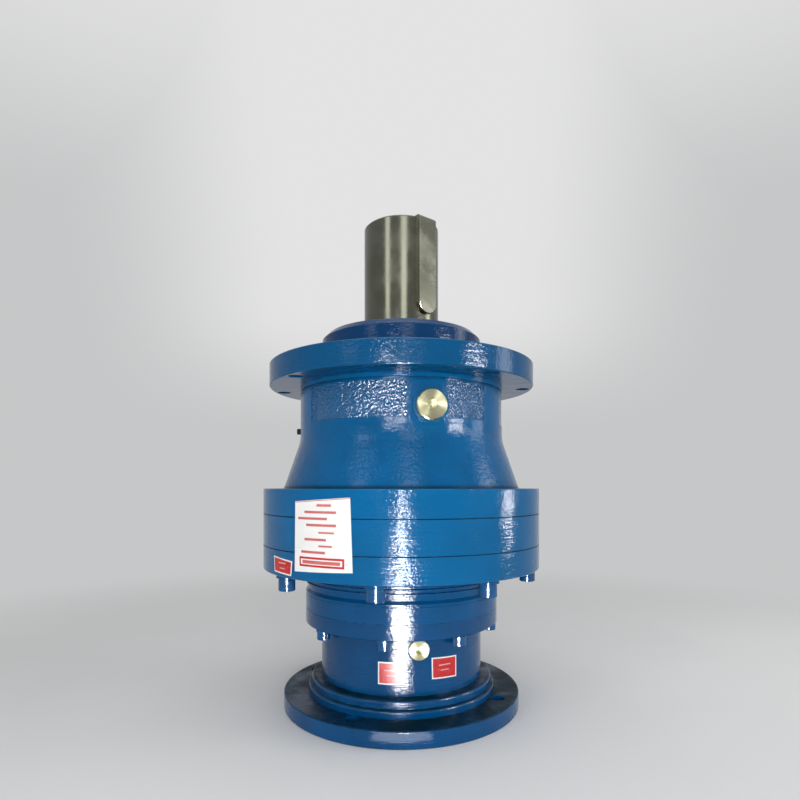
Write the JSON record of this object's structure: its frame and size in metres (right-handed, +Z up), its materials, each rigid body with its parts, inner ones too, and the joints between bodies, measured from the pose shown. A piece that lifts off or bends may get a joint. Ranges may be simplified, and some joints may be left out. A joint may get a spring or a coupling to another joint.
{
  "type": "planetary gearbox",
  "caption": "Upright planetary gearbox: flanged round casing, blue enamel, keyed steel output shaft on top and a motor flange with hollow input shaft below.",
  "frame": {"origin": "centre of the motor flange's face, on the shaft axis", "axes": "+Z up along the shafts towards the output end, -Y to the front, +X to the right"},
  "size_m": [0.292, 0.292, 0.5075],
  "materials": {
    "casing_paint": "semi-gloss enamel over cast iron",
    "painted_screws": "painted over with the casing",
    "spring_steel": "oiled",
    "plug_brass": "turned, slightly dull",
    "seal_copper": "soft copper ring",
    "side_plug_steel": "dark green enamel",
    "seal_rubber": "moulded",
    "bearing_steel": "ground and polished",
    "shaft_steel": "turned, oiled against rust",
    "key_steel": "drawn",
    "machined_steel": "turned",
    "gear_steel": "case-hardened and ground",
    "carrier_iron": "cast and machined",
    "bronze": "plain bronze",
    "wear_plastic": "natural wear plastic"
  },
  "bodies": {
    "casing": {"input_adapter": "casing_paint", "ring_gear_1": "casing_paint", "intermediate_housing": "casing_paint", "ring_gear_2": "casing_paint", "output_housing": "casing_paint", "large_screws": "painted_screws", "large_spring_washers": "spring_steel", "small_screws": "painted_screws", "small_spring_washers": "spring_steel", "filler_plug": "plug_brass", "filler_sealing_ring": "seal_copper", "level_plug": "casing_paint", "side_plug": "side_plug_steel", "output_seal": "seal_rubber", "input_seal": "seal_rubber", "sealing_rings_small": "seal_rubber", "sealing_rings_large": "seal_rubber", "upper_bearing_outer_race": "bearing_steel", "lower_bearing_outer_race": "bearing_steel", "input_bearing_outer_race": "bearing_steel", "input_bearing_clip": "spring_steel"},
    "output_rotor": {"output_shaft": "shaft_steel", "shaft_key": "key_steel", "output_carrier": "carrier_iron", "upper_bearing_inner_race": "bearing_steel", "lower_bearing_inner_race": "bearing_steel", "bearing_spacer": "machined_steel", "lock_nut": "machined_steel", "tab_washer": "spring_steel", "retaining_plate": "machined_steel", "retaining_screws": "machined_steel", "planet_pins_2": "machined_steel", "thrust_washers_2": "bronze"},
    "carrier_1_rotor": {"carrier_1": "carrier_iron", "sun_gear_2": "gear_steel", "thrust_button_2": "wear_plastic", "planet_pins_1": "machined_steel", "thrust_washers_1": "bronze"},
    "input_rotor": {"input_shaft": "shaft_steel", "sun_gear_1": "gear_steel", "thrust_button_1": "wear_plastic", "input_bearing_inner_race": "bearing_steel", "input_shaft_clip": "spring_steel"},
    "upper_roller_set": {"upper_rollers": "bearing_steel"},
    "lower_roller_set": {"lower_rollers": "bearing_steel"},
    "input_ball_set": {"input_balls": "bearing_steel"},
    "planet_1a": {"planet_gear_1a": "gear_steel"},
    "needle_set_1a": {"needles_1a": "bearing_steel"},
    "planet_2a": {"planet_gear_2a": "gear_steel"},
    "needle_set_2a": {"needles_2a": "bearing_steel"},
    "planet_1b": {"planet_gear_1b": "gear_steel"},
    "needle_set_1b": {"needles_1b": "bearing_steel"},
    "planet_2b": {"planet_gear_2b": "gear_steel"},
    "needle_set_2b": {"needles_2b": "bearing_steel"},
    "planet_1c": {"planet_gear_1c": "gear_steel"},
    "needle_set_1c": {"needles_1c": "bearing_steel"},
    "planet_2c": {"planet_gear_2c": "gear_steel"},
    "needle_set_2c": {"needles_2c": "bearing_steel"}
  },
  "joints": [
    {"name": "output_spin", "type": "hinge", "parent": "casing", "child": "output_rotor", "pos_m": [0, 0, 0.4], "axis": [0, 0, 1], "continuous": true},
    {"name": "carrier_1_spin", "type": "hinge", "parent": "casing", "child": "carrier_1_rotor", "pos_m": [0, 0, 0.13], "axis": [0, 0, 1], "continuous": true},
    {"name": "input_spin", "type": "hinge", "parent": "casing", "child": "input_rotor", "pos_m": [0, 0, 0.03], "axis": [0, 0, 1], "continuous": true},
    {"name": "upper_rollers_spin", "type": "hinge", "parent": "casing", "child": "upper_roller_set", "pos_m": [0, 0, 0.3345], "axis": [0, 0, 1], "continuous": true},
    {"name": "lower_rollers_spin", "type": "hinge", "parent": "casing", "child": "lower_roller_set", "pos_m": [0, 0, 0.2565], "axis": [0, 0, 1], "continuous": true},
    {"name": "input_balls_spin", "type": "hinge", "parent": "casing", "child": "input_ball_set", "pos_m": [0, 0, 0.0725], "axis": [0, 0, 1], "continuous": true},
    {"name": "planet_1a_spin", "type": "hinge", "parent": "carrier_1_rotor", "child": "planet_1a", "pos_m": [0.0495, 0, 0.111], "axis": [0, 0, 1], "continuous": true},
    {"name": "needles_1a_spin", "type": "hinge", "parent": "carrier_1_rotor", "child": "needle_set_1a", "pos_m": [0.0495, 0, 0.111], "axis": [0, 0, 1], "continuous": true},
    {"name": "planet_2a_spin", "type": "hinge", "parent": "output_rotor", "child": "planet_2a", "pos_m": [0.072, 0, 0.18625], "axis": [0, 0, 1], "continuous": true},
    {"name": "needles_2a_spin", "type": "hinge", "parent": "output_rotor", "child": "needle_set_2a", "pos_m": [0.072, 0, 0.18625], "axis": [0, 0, 1], "continuous": true},
    {"name": "planet_1b_spin", "type": "hinge", "parent": "carrier_1_rotor", "child": "planet_1b", "pos_m": [-0.02475, 0.04287, 0.111], "axis": [0, 0, 1], "continuous": true},
    {"name": "needles_1b_spin", "type": "hinge", "parent": "carrier_1_rotor", "child": "needle_set_1b", "pos_m": [-0.02475, 0.04287, 0.111], "axis": [0, 0, 1], "continuous": true},
    {"name": "planet_2b_spin", "type": "hinge", "parent": "output_rotor", "child": "planet_2b", "pos_m": [-0.036, 0.06235, 0.18625], "axis": [0, 0, 1], "continuous": true},
    {"name": "needles_2b_spin", "type": "hinge", "parent": "output_rotor", "child": "needle_set_2b", "pos_m": [-0.036, 0.06235, 0.18625], "axis": [0, 0, 1], "continuous": true},
    {"name": "planet_1c_spin", "type": "hinge", "parent": "carrier_1_rotor", "child": "planet_1c", "pos_m": [-0.02475, -0.04287, 0.111], "axis": [0, 0, 1], "continuous": true},
    {"name": "needles_1c_spin", "type": "hinge", "parent": "carrier_1_rotor", "child": "needle_set_1c", "pos_m": [-0.02475, -0.04287, 0.111], "axis": [0, 0, 1], "continuous": true},
    {"name": "planet_2c_spin", "type": "hinge", "parent": "output_rotor", "child": "planet_2c", "pos_m": [-0.036, -0.06235, 0.18625], "axis": [0, 0, 1], "continuous": true},
    {"name": "needles_2c_spin", "type": "hinge", "parent": "output_rotor", "child": "needle_set_2c", "pos_m": [-0.036, -0.06235, 0.18625], "axis": [0, 0, 1], "continuous": true}
  ],
  "couplings": [
    {"joint": "carrier_1_spin", "follows": "output_spin", "ratio": 4.8},
    {"joint": "input_spin", "follows": "output_spin", "ratio": 21.12},
    {"joint": "upper_rollers_spin", "follows": "output_spin", "ratio": 0.446},
    {"joint": "lower_rollers_spin", "follows": "output_spin", "ratio": 0.44375},
    {"joint": "input_balls_spin", "follows": "output_spin", "ratio": 8.7205},
    {"joint": "planet_1a_spin", "follows": "output_spin", "ratio": -13.6},
    {"joint": "needles_1a_spin", "follows": "output_spin", "ratio": -7.9333},
    {"joint": "planet_2a_spin", "follows": "output_spin", "ratio": -2.7143},
    {"joint": "needles_2a_spin", "follows": "output_spin", "ratio": -1.551},
    {"joint": "planet_1b_spin", "follows": "output_spin", "ratio": -13.6},
    {"joint": "needles_1b_spin", "follows": "output_spin", "ratio": -7.9333},
    {"joint": "planet_2b_spin", "follows": "output_spin", "ratio": -2.7143},
    {"joint": "needles_2b_spin", "follows": "output_spin", "ratio": -1.551},
    {"joint": "planet_1c_spin", "follows": "output_spin", "ratio": -13.6},
    {"joint": "needles_1c_spin", "follows": "output_spin", "ratio": -7.9333},
    {"joint": "planet_2c_spin", "follows": "output_spin", "ratio": -2.7143},
    {"joint": "needles_2c_spin", "follows": "output_spin", "ratio": -1.551}
  ]
}
